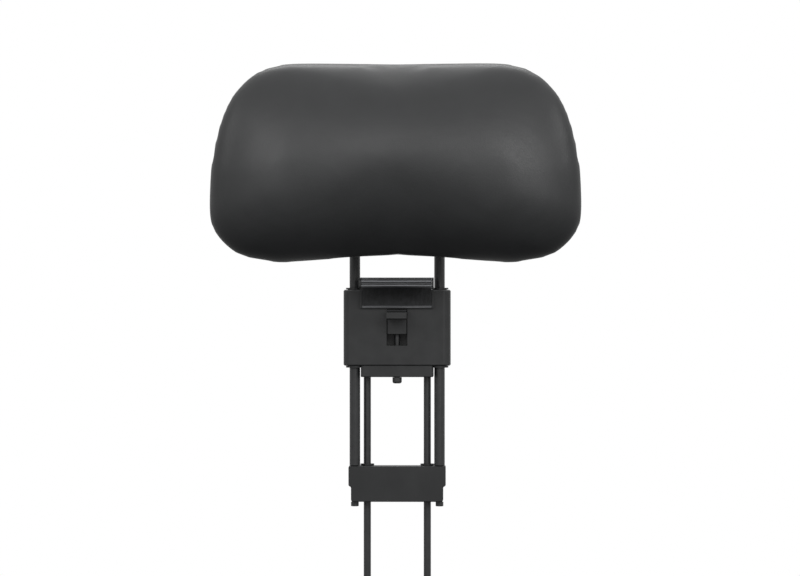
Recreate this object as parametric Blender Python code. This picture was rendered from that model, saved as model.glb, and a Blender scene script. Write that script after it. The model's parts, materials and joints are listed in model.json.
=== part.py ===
"""A chair headrest attachment: an upholstered pad on a two-pivot arm, carried by two posts that slide in a
bracket hooked over the chair's top rim, with two stay rods that run down to a clamp on the chair's spine.

Metres, +Z up. The pad faces -Y. The origin is the middle of the rim seat, where the hook's liner rests on
the top of the chair's rim. Every piece is a separate object. Pieces that move are parented to an empty that
lies on their joint's axis.
"""

import math

import bmesh
import bpy
from mathutils import Matrix, Vector

MM = 0.001

# ---------------------------------------------------------------- driving dimensions
GAP = 0.3 * MM  # space kept between two pieces that touch or run in each other
SEGMENTS = 20  # sides of a round piece
CHAMFER = 0.6 * MM

RIM_DEPTH = 22 * MM  # the chair's top rim, front to back
RIM_HEIGHT = 24 * MM  # the same rim, top to bottom
RIM_ARCH_RADIUS = 735 * MM  # the rim is arched from side to side, and the lip follows it

LINER_THICKNESS = 1.2 * MM
HOOK_WIDTH = 62 * MM
HOOK_WALL = 4 * MM
HOOK_TOP = 3.4 * MM
LIP_DROP = 4.7 * MM  # how far the front lip reaches below the rim's top
LEG_DROP = 22 * MM  # the same for the rear leg
HOOK_ROUND = 4 * MM  # the front and rear top corners
BEAD_HEIGHT = 4.2 * MM  # the round bead along the lip's lower edge
GROOVE_HEIGHT = 1.4 * MM  # the groove between the bead and the top
END_CAP_THICKNESS = 1.7 * MM

POST_DIAMETER = 9.5 * MM
POST_SPACING = 76 * MM
STAY_DIAMETER = 6.5 * MM
STAY_INSET = 11 * MM  # from a post's axis in to the stay's axis
STAY_SETBACK = 6.5 * MM  # from a post's axis back to the stay's axis

BUSH_WALL = 1.5 * MM
BUSH_LENGTH = 24 * MM
FLANGE_WIDTH = 1.4 * MM
FLANGE_THICKNESS = 1.5 * MM
HOUSING_WALL = 3.2 * MM
HOUSING_HEIGHT = 68 * MM
HOUSING_DROP = 6 * MM  # the housing's top, below the rim's top
TONGUE_HEIGHT = 10.2 * MM
SHOE_WIDTH = 8.4 * MM
COVER_THICKNESS = 2.5 * MM

JAW_WIDTH = 18 * MM
JAW_NOSE_HEIGHT = 6.5 * MM
JAW_HEIGHT = 20.5 * MM
JAW_BODY_DEPTH = 14 * MM
JAW_TRAVEL = 4 * MM  # five turns of the bolt
BOLT_DIAMETER = 5 * MM
BOLT_HEAD_DIAMETER = 8.4 * MM
BOLT_HEAD_HEIGHT = 5.5 * MM

BLOCK_TOP_DROP = 164.2 * MM  # the cross block's top, below the rim's top
BLOCK_HEIGHT = 31.8 * MM
BLOCK_SHOULDER = 17.4 * MM  # height of the block's wide upper part
BLOCK_WALL = 3 * MM
BLOCK_OVERHANG = 0.8 * MM  # how far the block stands out past the posts
GLIDE_WALL = 1.25 * MM
POST_SCREW_DIAMETER = 4 * MM
POST_SCREW_HEAD_DIAMETER = 7 * MM
POST_SCREW_HEAD_HEIGHT = 4 * MM

STAY_LENGTH = 400 * MM
SPINE_WIDTH = 55 * MM  # the chair's spine, where the lower clamp grips it
SPINE_DEPTH = 12 * MM
CLAMP_HEIGHT = 36 * MM
CLAMP_WALL = 12 * MM
CLAMP_PLATE = 5.5 * MM

BRIDGE_HEIGHT = 22 * MM
BRIDGE_RISE = 72 * MM  # the middle of the top bridge and the swing axis, above the rim's top
BRIDGE_WALL = 3.2 * MM
PIN_DIAMETER = 8 * MM
PIN_HEAD_DIAMETER = 12 * MM
PIN_HEAD_THICKNESS = 2.7 * MM
KNUCKLE_RADIUS = 9 * MM
ARM_WIDTH = 30 * MM
WASHER_THICKNESS = 1.4 * MM
EAR_THICKNESS = 5 * MM
SWING_FORWARD = 21.5 * MM  # from the posts' axes forward to the swing axis
TILT_RISE = 34 * MM  # from the swing axis up to the tilt axis
TILT_FORWARD = 8 * MM  # from the swing axis forward to the tilt axis

PAD_WIDTH = 324.4 * MM
PAD_HEIGHT = 174.8 * MM
PAD_CENTRE_RISE = 105.5 * MM  # the pad's middle, above the rim's top
PAD_SETBACK = 19 * MM  # from the tilt axis forward to the back shell's rear face
PAD_TOP_DIP = 1.6 * MM
PAD_BOTTOM_RISE = 6.9 * MM
PAD_CROWN = 30 * MM  # front face, ahead of the pad's widest line, in the middle
LOBE_CROWN = 8 * MM  # how much further the two side lobes stand out
LOWER_FULLNESS = 0.25  # how much deeper the pad's front is at its foot than in its middle
BELLY = 10 * MM  # how much further the front stands out halfway up than at its top and foot
PAD_BACK_DEPTH = 18 * MM  # rear face, behind the pad's widest line
CRADLE = 16 * MM  # how far the pad's two ends come forward
CRADLE_FLAT = 80 * MM  # width of the straight middle of the pad
COVER_SKIN = 1.4 * MM
FOAM_GAP = 2 * GAP  # between the cover and the foam, whose facets don't quite run parallel
BOARD_THICKNESS = 6.5 * MM
SHELL_WALL = 2.5 * MM
SHELL_DEPTH = 4.7 * MM
BRACKET_PLATE = 3.5 * MM
BRACKET_WIDTH = 68 * MM
BRACKET_HEIGHT = 42 * MM

SCREW_DIAMETER = 4 * MM
SCREW_HEAD_DIAMETER = 7 * MM
SCREW_HEAD_HEIGHT = 2.5 * MM
SMALL_SCREW_DIAMETER = 3 * MM
SMALL_SCREW_HEAD_DIAMETER = 6 * MM
SMALL_SCREW_HEAD_HEIGHT = 1.8 * MM

# ---------------------------------------------------------------- places worked out from them
POST_X = POST_SPACING / 2
POST_RADIUS = POST_DIAMETER / 2
BUSH_BORE = POST_RADIUS + GAP
BUSH_OUTER = BUSH_BORE + BUSH_WALL
BUSH_SEAT = BUSH_OUTER + GAP
FLANGE_OUTER = BUSH_OUTER + FLANGE_WIDTH
STAY_RADIUS = STAY_DIAMETER / 2
STAY_SOCKET = STAY_RADIUS + GAP
STAY_X = POST_X - STAY_INSET

LINER_BACK = RIM_DEPTH / 2 + LINER_THICKNESS
LEG_FRONT = LINER_BACK + GAP
LEG_BACK = LEG_FRONT + HOOK_WALL
HOOK_CEILING = LINER_THICKNESS + GAP

HOUSING_FRONT = LEG_BACK + GAP
POST_Y = HOUSING_FRONT + HOUSING_WALL + BUSH_SEAT
STAY_Y = POST_Y + STAY_SETBACK
HOUSING_BACK = max(POST_Y + BUSH_SEAT, STAY_Y + STAY_SOCKET) + HOUSING_WALL
HOUSING_X = POST_X + BUSH_SEAT + HOUSING_WALL
HOUSING_TOP = -HOUSING_DROP
HOUSING_BOTTOM = HOUSING_TOP - HOUSING_HEIGHT
TONGUE_X = POST_X - POST_RADIUS - 2 * GAP
TONGUE_BOTTOM = HOUSING_BOTTOM - TONGUE_HEIGHT
SHOE_Z = (HOUSING_TOP + HOUSING_BOTTOM) / 2
SHOE_BACK = POST_Y + BUSH_SEAT + 1.6 * MM
COVER_FRONT = HOUSING_BACK + GAP
COVER_BACK = COVER_FRONT + COVER_THICKNESS
COVER_SCREW_X = STAY_X - STAY_SOCKET - 4 * MM
HOOK_SCREW_X = JAW_WIDTH / 2 + 11 * MM
HOOK_SCREW_Z = -LEG_DROP / 2

JAW_TOP = -RIM_HEIGHT - LINER_THICKNESS - GAP
JAW_BODY_FRONT = HOUSING_FRONT + GAP
BOLT_Y = JAW_BODY_FRONT + JAW_BODY_DEPTH / 2
SLOT_BOTTOM = JAW_TOP - JAW_HEIGHT - JAW_TRAVEL - 6 * MM
BOLT_RADIUS = BOLT_DIAMETER / 2

BLOCK_TOP = -BLOCK_TOP_DROP
BLOCK_BOTTOM = BLOCK_TOP - BLOCK_HEIGHT
BLOCK_STEP = BLOCK_TOP - BLOCK_SHOULDER
BLOCK_X = POST_X + POST_RADIUS + BLOCK_OVERHANG
BLOCK_LOWER_X = POST_X + POST_SCREW_DIAMETER / 2 + GAP + 1 * MM
BLOCK_FRONT = POST_Y - POST_RADIUS - GAP - BLOCK_WALL
GLIDE_OUTER = STAY_SOCKET + GLIDE_WALL
BLOCK_BACK = STAY_Y + GLIDE_OUTER + GAP + BLOCK_WALL
POST_BOTTOM = BLOCK_TOP + GAP

STAY_TOP = HOUSING_TOP - HOUSING_HEIGHT / 2
STAY_BOTTOM = STAY_TOP - STAY_LENGTH
CLAMP_BOTTOM = STAY_BOTTOM - BLOCK_WALL
CLAMP_TOP = CLAMP_BOTTOM + CLAMP_HEIGHT
CLAMP_Z = (CLAMP_TOP + CLAMP_BOTTOM) / 2
CLAMP_INNER_X = SPINE_WIDTH / 2 + GAP
CLAMP_X = max(CLAMP_INNER_X + CLAMP_WALL, STAY_X + STAY_SOCKET + CLAMP_WALL)
CLAMP_SCREW_X = (CLAMP_INNER_X + CLAMP_X) / 2
CLAMP_FLOOR = STAY_Y - STAY_SOCKET - HOUSING_WALL
SPINE_BACK = CLAMP_FLOOR - GAP - LINER_THICKNESS
SPINE_FRONT = SPINE_BACK - SPINE_DEPTH
CLAMP_PLATE_BACK = SPINE_FRONT - LINER_THICKNESS - GAP
CLAMP_PLATE_FRONT = CLAMP_PLATE_BACK - CLAMP_PLATE
CLAMP_BACK = STAY_Y + STAY_SOCKET + HOUSING_WALL

SWING_Y = POST_Y - SWING_FORWARD
SWING_Z = BRIDGE_RISE
TILT_Y = SWING_Y - TILT_FORWARD
TILT_Z = SWING_Z + TILT_RISE
BRIDGE_FRONT = POST_Y - POST_RADIUS - GAP - BRIDGE_WALL
BRIDGE_BACK = POST_Y + POST_RADIUS + GAP + BRIDGE_WALL
BRIDGE_TOP = BRIDGE_RISE + BRIDGE_HEIGHT / 2
BRIDGE_BOTTOM = BRIDGE_RISE - BRIDGE_HEIGHT / 2
BRIDGE_X = POST_X + POST_RADIUS + GAP + BRIDGE_WALL
POST_TOP = BRIDGE_TOP - BRIDGE_WALL
PIN_RADIUS = PIN_DIAMETER / 2
PIN_HOLE = PIN_RADIUS + GAP
ARM_X = ARM_WIDTH / 2
EAR_INNER_X = ARM_X + WASHER_THICKNESS + 2 * GAP
EAR_OUTER_X = EAR_INNER_X + EAR_THICKNESS

SHELL_BACK = TILT_Y - PAD_SETBACK
PLATE_FRONT = SHELL_BACK + GAP
PLATE_BACK = PLATE_FRONT + BRACKET_PLATE
COVER_REAR = SHELL_BACK - SHELL_DEPTH - GAP
PAD_EQUATOR = COVER_REAR - PAD_BACK_DEPTH
BRACKET_SCREW_X = (EAR_OUTER_X + BRACKET_WIDTH / 2) / 2
BRACKET_SCREW_Z = BRACKET_HEIGHT / 2 - 7 * MM

SIDES = (("left", -1), ("right", 1))


# ---------------------------------------------------------------- materials
def finish(name, colour, roughness, metallic=0.0):
    material = bpy.data.materials.new(name)
    material.use_nodes = True
    shader = material.node_tree.nodes["Principled BSDF"]
    shader.inputs["Base Color"].default_value = (*colour, 1.0)
    shader.inputs["Roughness"].default_value = roughness
    shader.inputs["Metallic"].default_value = metallic
    return material


def finishes():
    return {
        "leather": finish("soft_leather", (0.045, 0.045, 0.047), 0.42),
        "foam": finish("pad_foam", (0.62, 0.60, 0.55), 0.95),
        "board": finish("birch_board", (0.52, 0.38, 0.22), 0.70),
        "shell": finish("moulded_shell", (0.030, 0.030, 0.031), 0.55),
        "nylon": finish("black_nylon", (0.025, 0.025, 0.026), 0.50),
        "acetal": finish("black_acetal", (0.020, 0.020, 0.021), 0.40),
        "casting": finish("coated_casting", (0.030, 0.030, 0.032), 0.45, 0.3),
        "anodised": finish("anodised_hook", (0.060, 0.060, 0.063), 0.30, 0.8),
        "steel": finish("coated_steel", (0.040, 0.040, 0.042), 0.28, 0.6),
        "zinc": finish("zinc_steel", (0.55, 0.55, 0.56), 0.35, 1.0),
        "rubber": finish("grip_rubber", (0.018, 0.018, 0.018), 0.80),
    }


# ---------------------------------------------------------------- shapes, all in world coordinates
AXES = {"X": Vector((1, 0, 0)), "Y": Vector((0, 1, 0)), "Z": Vector((0, 0, 1))}


def across(axis, a, b, along):
    """The point at `along` on an axis, with a and b on the other two, in X, Y, Z order."""
    if axis == "X":
        return Vector((along, a, b))
    if axis == "Y":
        return Vector((a, along, b))
    return Vector((a, b, along))


def prism(axis, outline, low, high, steps=1):
    """An outline drawn across an axis and extruded along it from low to high."""
    bm = bmesh.new()
    face = bm.faces.new([bm.verts.new(across(axis, a, b, low)) for a, b in outline])
    step = AXES[axis] * ((high - low) / steps)
    for _ in range(steps):
        made = bmesh.ops.extrude_face_region(bm, geom=[face, *face.edges])["geom"]
        bmesh.ops.translate(bm, vec=step, verts=[g for g in made if isinstance(g, bmesh.types.BMVert)])
        face = next(g for g in made if isinstance(g, bmesh.types.BMFace))
    bmesh.ops.recalc_face_normals(bm, faces=bm.faces)
    return bm


def arc(a, b, radius, start, end, steps=4):
    """Points on an arc about (a, b), its angles in degrees."""
    turn = [math.radians(start + (end - start) * i / steps) for i in range(steps + 1)]
    return [(a + radius * math.cos(t), b + radius * math.sin(t)) for t in turn]


def rounded(low_a, high_a, low_b, high_b, radius, steps=4):
    """A rectangle with round corners."""
    return (
        arc(high_a - radius, high_b - radius, radius, 0, 90, steps)
        + arc(low_a + radius, high_b - radius, radius, 90, 180, steps)
        + arc(low_a + radius, low_b + radius, radius, 180, 270, steps)
        + arc(high_a - radius, low_b + radius, radius, 270, 360, steps)
    )


def box(low, high):
    corners = [(low[0], low[1]), (high[0], low[1]), (high[0], high[1]), (low[0], high[1])]
    return prism("Z", corners, low[2], high[2])


def chamfered(bm, width=CHAMFER):
    """The same solid with its sharp edges broken."""
    sharp = [e for e in bm.edges if e.calc_face_angle() > math.radians(50)]
    bmesh.ops.bevel(bm, geom=sharp, offset=width, segments=1, profile=0.5, affect="EDGES", material=-1)
    return bm


def ring(axis, a, b, along, radius, segments, hexagon=False):
    """Points of a ring across an axis. A hexagon keeps as many points, spread along its six sides."""
    points = []
    for i in range(segments):
        turn = 2 * math.pi * i / segments
        sector = math.remainder(turn - math.pi / 6, math.pi / 3)
        reach = radius / math.cos(sector) if hexagon else radius
        points.append(across(axis, a + reach * math.cos(turn), b + reach * math.sin(turn), along))
    return points


def stack(axis, a, b, rings, segments=SEGMENTS):
    """A turned solid with filled ends: rings of (radius, along), or (radius, along, True) for a hexagon."""
    bm = bmesh.new()
    loops = [[bm.verts.new(p) for p in ring(axis, a, b, r[1], r[0], segments, len(r) == 3)] for r in rings]
    for low, high in zip(loops, loops[1:]):
        for i in range(segments):
            j = (i + 1) % segments
            bm.faces.new((low[i], low[j], high[j], high[i]))
    bm.faces.new(loops[0])
    bm.faces.new(loops[-1])
    bmesh.ops.recalc_face_normals(bm, faces=bm.faces)
    return bm


def rod(axis, a, b, radius, low, high, segments=SEGMENTS):
    return stack(axis, a, b, [(radius, low), (radius, high)], segments)


def sleeve(axis, a, b, profile, segments=SEGMENTS):
    """A ring-shaped solid: a closed profile of (radius, along) turned about the axis."""
    bm = bmesh.new()
    loops = [[bm.verts.new(p) for p in ring(axis, a, b, along, r, segments)] for r, along in profile]
    for low, high in zip(loops, loops[1:] + loops[:1]):
        for i in range(segments):
            j = (i + 1) % segments
            bm.faces.new((low[i], low[j], high[j], high[i]))
    bmesh.ops.recalc_face_normals(bm, faces=bm.faces)
    return bm


def screw(axis, a, b, seat, tip, diameter, head_diameter, head_height, segments=12, crown_steps=1):
    """A socket screw: its head sits on `seat`, its shank ends at `tip`. More crown steps make it domed."""
    out = math.copysign(1, seat - tip)
    crown = seat + out * head_height
    socket = head_diameter * 0.26
    edge = head_diameter * (0.06 if crown_steps == 1 else 0.22)
    rings = [(diameter / 2, tip), (diameter / 2, seat), (head_diameter / 2, seat)]
    for radius, along in arc(head_diameter / 2 - edge, head_height - edge, edge, 0, 90, crown_steps):
        rings.append((radius, seat + out * along))
    rings += [(socket, crown, True), (socket, crown - out * head_height * 0.6, True)]
    return stack(axis, a, b, rings, segments)


# ---------------------------------------------------------------- objects
def joint(name, y, z):
    """An empty on a joint's axis, in the middle plane of the headrest."""
    empty = bpy.data.objects.new(name, None)
    empty.location = (0, y, z)
    empty.empty_display_size = 0.02
    bpy.context.collection.objects.link(empty)
    return empty


def piece(name, bm, material, at=(0, 0, 0), on=None):
    """One sub-part, modelled in place, with its origin moved to `at` and its parent empty, if it moves."""
    mesh = bpy.data.meshes.new(name)
    bm.to_mesh(mesh)
    bm.free()
    mesh.transform(Matrix.Translation(-Vector(at)))
    mesh.shade_smooth()
    mesh.set_sharp_from_angle(angle=math.radians(35))
    mesh.materials.append(material)
    obj = bpy.data.objects.new(name, mesh)
    obj.parent = on
    obj.location = Vector(at) - (on.location if on else Vector())
    bpy.context.collection.objects.link(obj)
    return obj


def helper(name, bm):
    mesh = bpy.data.meshes.new(name)
    bm.to_mesh(mesh)
    bm.free()
    obj = bpy.data.objects.new(name, mesh)
    obj.hide_render = True
    obj.display_type = "WIRE"
    bpy.context.collection.objects.link(obj)
    return obj


def combine(obj, operation, *shapes):
    """Adds a Boolean to the object for each shape."""
    for bm in shapes:
        number = len(obj.modifiers)
        modifier = obj.modifiers.new(f"{operation.lower()}_{number}", "BOOLEAN")
        modifier.operation = operation
        modifier.solver = "EXACT"
        modifier.object = helper(f"{obj.name}_helper_{number}", bm)


def cut(obj, *shapes):
    combine(obj, "DIFFERENCE", *shapes)


def add(obj, *shapes):
    combine(obj, "UNION", *shapes)


# ---------------------------------------------------------------- hook over the chair's rim
def hook_profile(groove):
    """The hook's section in Y and Z: front lip with its bead, top, rear leg."""
    front = -LEG_BACK
    top = HOOK_CEILING + HOOK_TOP
    radius = BEAD_HEIGHT / 2
    bead = -LIP_DROP + radius
    if groove:
        points = arc(front + radius, bead, radius, 270, 90, 6)
        groove_top = bead + radius + GROOVE_HEIGHT
        points += [(front + radius, groove_top - GROOVE_HEIGHT / 2), (front, groove_top)]
    else:
        points = arc(front + radius, bead, radius, 270, 180, 3)
    points += arc(front + HOOK_ROUND, top - HOOK_ROUND, HOOK_ROUND, 180, 90, 5)[1 if groove else 0 :]
    points += arc(LEG_BACK - HOOK_ROUND, top - HOOK_ROUND, HOOK_ROUND, 90, 0, 4)
    points += [(LEG_BACK, -LEG_DROP), (LEG_FRONT, -LEG_DROP), (LEG_FRONT, HOOK_CEILING)]
    points += [(-LEG_FRONT, HOOK_CEILING), (-LEG_FRONT, -LIP_DROP)]
    return points


def arch_lip(bm, half_width):
    """Lifts the lip's lower edge in the middle, to follow the arch of the chair's rim."""
    middle = half_width**2 / (2 * RIM_ARCH_RADIUS)
    for vert in bm.verts:
        if vert.co.y < 0 and vert.co.z < -LIP_DROP + BEAD_HEIGHT / 2 - MM / 10:
            vert.co.z += middle * (1 - (vert.co.x / half_width) ** 2)


def hook(look):
    half = HOOK_WIDTH / 2
    body = prism("X", hook_profile(True), -half, half, steps=8)
    arch_lip(body, half)
    bar = piece("rim_hook", body, look["anodised"])
    hole = SCREW_DIAMETER / 2 + GAP
    recess = SCREW_HEAD_DIAMETER / 2 + GAP
    for _, side in SIDES:
        x = side * HOOK_SCREW_X
        cut(bar, rod("Y", x, HOOK_SCREW_Z, hole, LEG_FRONT - MM, LEG_BACK + MM, 12))
        cut(bar, rod("Y", x, HOOK_SCREW_Z, recess, LEG_FRONT - MM, LEG_FRONT + SCREW_HEAD_HEIGHT, 16))
    liner = [
        (-LINER_BACK, -LIP_DROP + GAP),
        (-LINER_BACK, LINER_THICKNESS),
        (LINER_BACK, LINER_THICKNESS),
        (LINER_BACK, -LEG_DROP + 2 * MM),
        (RIM_DEPTH / 2, -LEG_DROP + 2 * MM),
        (RIM_DEPTH / 2, 0),
        (-RIM_DEPTH / 2, 0),
        (-RIM_DEPTH / 2, -LIP_DROP + GAP),
    ]
    piece("rim_hook_liner", prism("X", liner, -half, half), look["rubber"])
    for name, side in SIDES:
        inner = side * (half + GAP)
        outer = side * (half + GAP + END_CAP_THICKNESS)
        cap = prism("X", hook_profile(False), min(inner, outer), max(inner, outer))
        piece(f"hook_end_cap_{name}", cap, look["nylon"])
        fixing = screw(
            "Y",
            side * HOOK_SCREW_X,
            HOOK_SCREW_Z,
            LEG_FRONT + SCREW_HEAD_HEIGHT - GAP,
            POST_Y,
            SCREW_DIAMETER - 2 * GAP,
            SCREW_HEAD_DIAMETER,
            SCREW_HEAD_HEIGHT - 2 * GAP,
        )
        piece(f"hook_screw_{name}", fixing, look["zinc"])


# ---------------------------------------------------------------- guide housing behind the rim
def guide_housing(look):
    outline = rounded(-HOUSING_X, HOUSING_X, HOUSING_FRONT, HOUSING_BACK, 7 * MM, 5)
    body = chamfered(prism("Z", outline, HOUSING_BOTTOM, HOUSING_TOP), 1 * MM)
    housing = piece("guide_housing", body, look["casting"])
    tongue = rounded(-TONGUE_X, TONGUE_X, HOUSING_FRONT + 1.5 * MM, HOUSING_BACK - 0.8 * MM, 3 * MM, 3)
    add(housing, chamfered(prism("Z", tongue, TONGUE_BOTTOM, HOUSING_BOTTOM + 2 * MM)))
    slot_x = JAW_WIDTH / 2 + GAP
    slot_back = JAW_BODY_FRONT + JAW_BODY_DEPTH + GAP
    cut(housing, box((-slot_x, HOUSING_FRONT - MM, SLOT_BOTTOM), (slot_x, slot_back, JAW_TOP + 2 * MM)))
    cut(housing, rod("Z", 0, BOLT_Y, BOLT_RADIUS + GAP, TONGUE_BOTTOM - MM, SLOT_BOTTOM + MM))
    for _, side in SIDES:
        scallop = rod("Z", side * POST_X, POST_Y, FLANGE_OUTER + GAP, TONGUE_BOTTOM - MM, HOUSING_BOTTOM)
        cut(housing, scallop)
        cut(housing, rod("Z", side * POST_X, POST_Y, BUSH_SEAT, HOUSING_BOTTOM - MM, HOUSING_TOP + MM))
        cut(housing, rod("Z", side * STAY_X, STAY_Y, STAY_SOCKET, TONGUE_BOTTOM - MM, STAY_TOP + GAP))
        pocket = SHOE_WIDTH / 2 + GAP
        low = (side * POST_X - pocket, POST_Y, SHOE_Z - pocket)
        high = (side * POST_X + pocket, HOUSING_BACK + MM, SHOE_Z + pocket)
        cut(housing, box(low, high))
        cover_hole = SMALL_SCREW_DIAMETER / 2 + GAP
        cut(housing, rod("Y", side * COVER_SCREW_X, SHOE_Z, cover_hole, STAY_Y, HOUSING_BACK + MM, 12))
        hole = SCREW_DIAMETER / 2 + GAP
        cut(housing, rod("Y", side * HOOK_SCREW_X, HOOK_SCREW_Z, hole, HOUSING_FRONT - MM, POST_Y + MM, 12))


def post_bush(name, side, mouth, inward, look):
    """A flanged sleeve in a mouth of the housing. `inward` is +1 or -1 along Z, into the housing."""
    seat = mouth - inward * GAP
    face = seat - inward * FLANGE_THICKNESS
    end = mouth + inward * BUSH_LENGTH
    profile = [
        (BUSH_BORE, face),
        (FLANGE_OUTER, face),
        (FLANGE_OUTER, seat),
        (BUSH_OUTER, seat),
        (BUSH_OUTER, end),
        (BUSH_BORE, end),
    ]
    piece(name, sleeve("Z", side * POST_X, POST_Y, profile, 20), look["acetal"])


def brake_spring(name, side, look):
    """A small compression spring behind a brake shoe."""
    wire = 0.45 * MM
    coil = 2.6 * MM
    turns = 4
    per_turn = 12
    start = SHOE_BACK + GAP + wire
    end = COVER_FRONT - GAP - wire
    curve = bpy.data.curves.new(name, "CURVE")
    curve.dimensions = "3D"
    curve.bevel_depth = wire
    curve.bevel_resolution = 1
    curve.use_fill_caps = True
    count = turns * per_turn + 1
    spline = curve.splines.new("POLY")
    spline.points.add(count - 1)
    for i, point in enumerate(spline.points):
        turn = 2 * math.pi * i / per_turn
        along = start + (end - start) * i / (count - 1) - POST_Y
        point.co = (coil * math.cos(turn), along, coil * math.sin(turn), 1)
    curve.materials.append(look["zinc"])
    obj = bpy.data.objects.new(name, curve)
    obj.location = (side * POST_X, POST_Y, SHOE_Z)
    bpy.context.collection.objects.link(obj)


def brakes(look):
    """Spring-loaded shoes that hold the posts at any height."""
    for name, side in SIDES:
        half = SHOE_WIDTH / 2
        low = (side * POST_X - half, POST_Y + 1.5 * MM, SHOE_Z - half)
        high = (side * POST_X + half, SHOE_BACK, SHOE_Z + half)
        shoe = piece(f"brake_shoe_{name}", box(low, high), look["nylon"])
        cut(shoe, rod("Z", side * POST_X, POST_Y, BUSH_BORE, SHOE_Z - SHOE_WIDTH, SHOE_Z + SHOE_WIDTH))
        brake_spring(f"brake_spring_{name}", side, look)


def housing_cover(look):
    inset = 3 * MM
    half = HOUSING_X - inset
    outline = rounded(-half, half, HOUSING_BOTTOM + inset, HOUSING_TOP - inset, 6 * MM, 4)
    cover = piece("housing_cover", chamfered(prism("Y", outline, COVER_FRONT, COVER_BACK)), look["shell"])
    for name, side in SIDES:
        hole = SMALL_SCREW_DIAMETER / 2 + GAP
        cut(cover, rod("Y", side * COVER_SCREW_X, SHOE_Z, hole, COVER_FRONT - MM, COVER_BACK + MM, 12))
        fixing = screw(
            "Y",
            side * COVER_SCREW_X,
            SHOE_Z,
            COVER_BACK + GAP,
            STAY_Y + MM,
            SMALL_SCREW_DIAMETER,
            SMALL_SCREW_HEAD_DIAMETER,
            SMALL_SCREW_HEAD_HEIGHT,
        )
        piece(f"cover_screw_{name}", fixing, look["zinc"])


# ---------------------------------------------------------------- jaw that closes the hook under the rim
def jaw(look, jaw_axis, bolt_axis):
    half = JAW_WIDTH / 2
    nose_front = -RIM_DEPTH / 2 + 2 * MM
    body_back = JAW_BODY_FRONT + JAW_BODY_DEPTH
    outline = [
        (nose_front, JAW_TOP),
        (nose_front, JAW_TOP - JAW_NOSE_HEIGHT),
        (JAW_BODY_FRONT, JAW_TOP - JAW_NOSE_HEIGHT),
        (JAW_BODY_FRONT, JAW_TOP - JAW_HEIGHT),
        (body_back, JAW_TOP - JAW_HEIGHT),
        (body_back, JAW_TOP),
    ]
    at = (0, BOLT_Y, JAW_TOP)
    body = piece("rim_jaw", chamfered(prism("X", outline, -half, half)), look["casting"], at, jaw_axis)
    socket_top = JAW_TOP - JAW_HEIGHT / 2 + GAP
    cut(body, rod("Z", 0, BOLT_Y, BOLT_RADIUS + GAP, JAW_TOP - JAW_HEIGHT - MM, socket_top))
    pad_low = (-half + GAP, nose_front + GAP, JAW_TOP + GAP)
    pad_high = (half - GAP, RIM_DEPTH / 2, -RIM_HEIGHT)
    piece("rim_jaw_pad", box(pad_low, pad_high), look["rubber"], at, jaw_axis)
    bolt = screw(
        "Z",
        0,
        BOLT_Y,
        TONGUE_BOTTOM - GAP,
        socket_top - GAP,
        BOLT_DIAMETER,
        BOLT_HEAD_DIAMETER,
        BOLT_HEAD_HEIGHT,
        segments=18,
        crown_steps=3,
    )
    piece("clamp_bolt", bolt, look["steel"], (0, BOLT_Y, TONGUE_BOTTOM), bolt_axis)


# ---------------------------------------------------------------- stay rods and the clamp on the spine
def stays(look):
    for name, side in SIDES:
        edge = 0.5 * MM
        rings = [
            (STAY_RADIUS - edge, STAY_BOTTOM),
            (STAY_RADIUS, STAY_BOTTOM + edge),
            (STAY_RADIUS, STAY_TOP),
        ]
        piece(f"stay_rod_{name}", stack("Z", side * STAY_X, STAY_Y, rings), look["steel"])


def spine_clamp(look):
    outline = [
        (CLAMP_X, CLAMP_PLATE_BACK + GAP),
        (CLAMP_X, CLAMP_BACK - 4 * MM),
        (CLAMP_X - 4 * MM, CLAMP_BACK),
        (-CLAMP_X + 4 * MM, CLAMP_BACK),
        (-CLAMP_X, CLAMP_BACK - 4 * MM),
        (-CLAMP_X, CLAMP_PLATE_BACK + GAP),
        (-CLAMP_INNER_X, CLAMP_PLATE_BACK + GAP),
        (-CLAMP_INNER_X, CLAMP_FLOOR),
        (CLAMP_INNER_X, CLAMP_FLOOR),
        (CLAMP_INNER_X, CLAMP_PLATE_BACK + GAP),
    ]
    form = chamfered(prism("Z", outline, CLAMP_BOTTOM, CLAMP_TOP))
    back = piece("spine_clamp_back", form, look["casting"])
    face = rounded(-CLAMP_X, CLAMP_X, CLAMP_BOTTOM, CLAMP_TOP, 4 * MM)
    slab = chamfered(prism("Y", face, CLAMP_PLATE_FRONT, CLAMP_PLATE_BACK), 1 * MM)
    plate = piece("spine_clamp_front", slab, look["casting"])
    tip = CLAMP_FLOOR
    for name, side in SIDES:
        x = side * CLAMP_SCREW_X
        hole = SCREW_DIAMETER / 2 + GAP
        cut(back, rod("Z", side * STAY_X, STAY_Y, STAY_SOCKET, STAY_BOTTOM - GAP, CLAMP_TOP + MM))
        cut(back, rod("Y", x, CLAMP_Z, hole, CLAMP_PLATE_BACK - MM, tip + GAP, 12))
        cut(plate, rod("Y", x, CLAMP_Z, hole, CLAMP_PLATE_FRONT - MM, CLAMP_PLATE_BACK + MM, 12))
        seat = CLAMP_PLATE_FRONT - GAP
        fixing = screw("Y", x, CLAMP_Z, seat, tip, SCREW_DIAMETER, SCREW_HEAD_DIAMETER, SCREW_DIAMETER)
        piece(f"spine_screw_{name}", fixing, look["zinc"])
    grip_x = SPINE_WIDTH / 2 - 2 * MM
    low = CLAMP_BOTTOM + 2 * MM
    high = CLAMP_TOP - 2 * MM
    for name, front, back in (
        ("back", SPINE_BACK, CLAMP_FLOOR - GAP),
        ("front", CLAMP_PLATE_BACK + GAP, SPINE_FRONT),
    ):
        piece(f"spine_pad_{name}", box((-grip_x, front, low), (grip_x, back, high)), look["rubber"])


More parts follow.
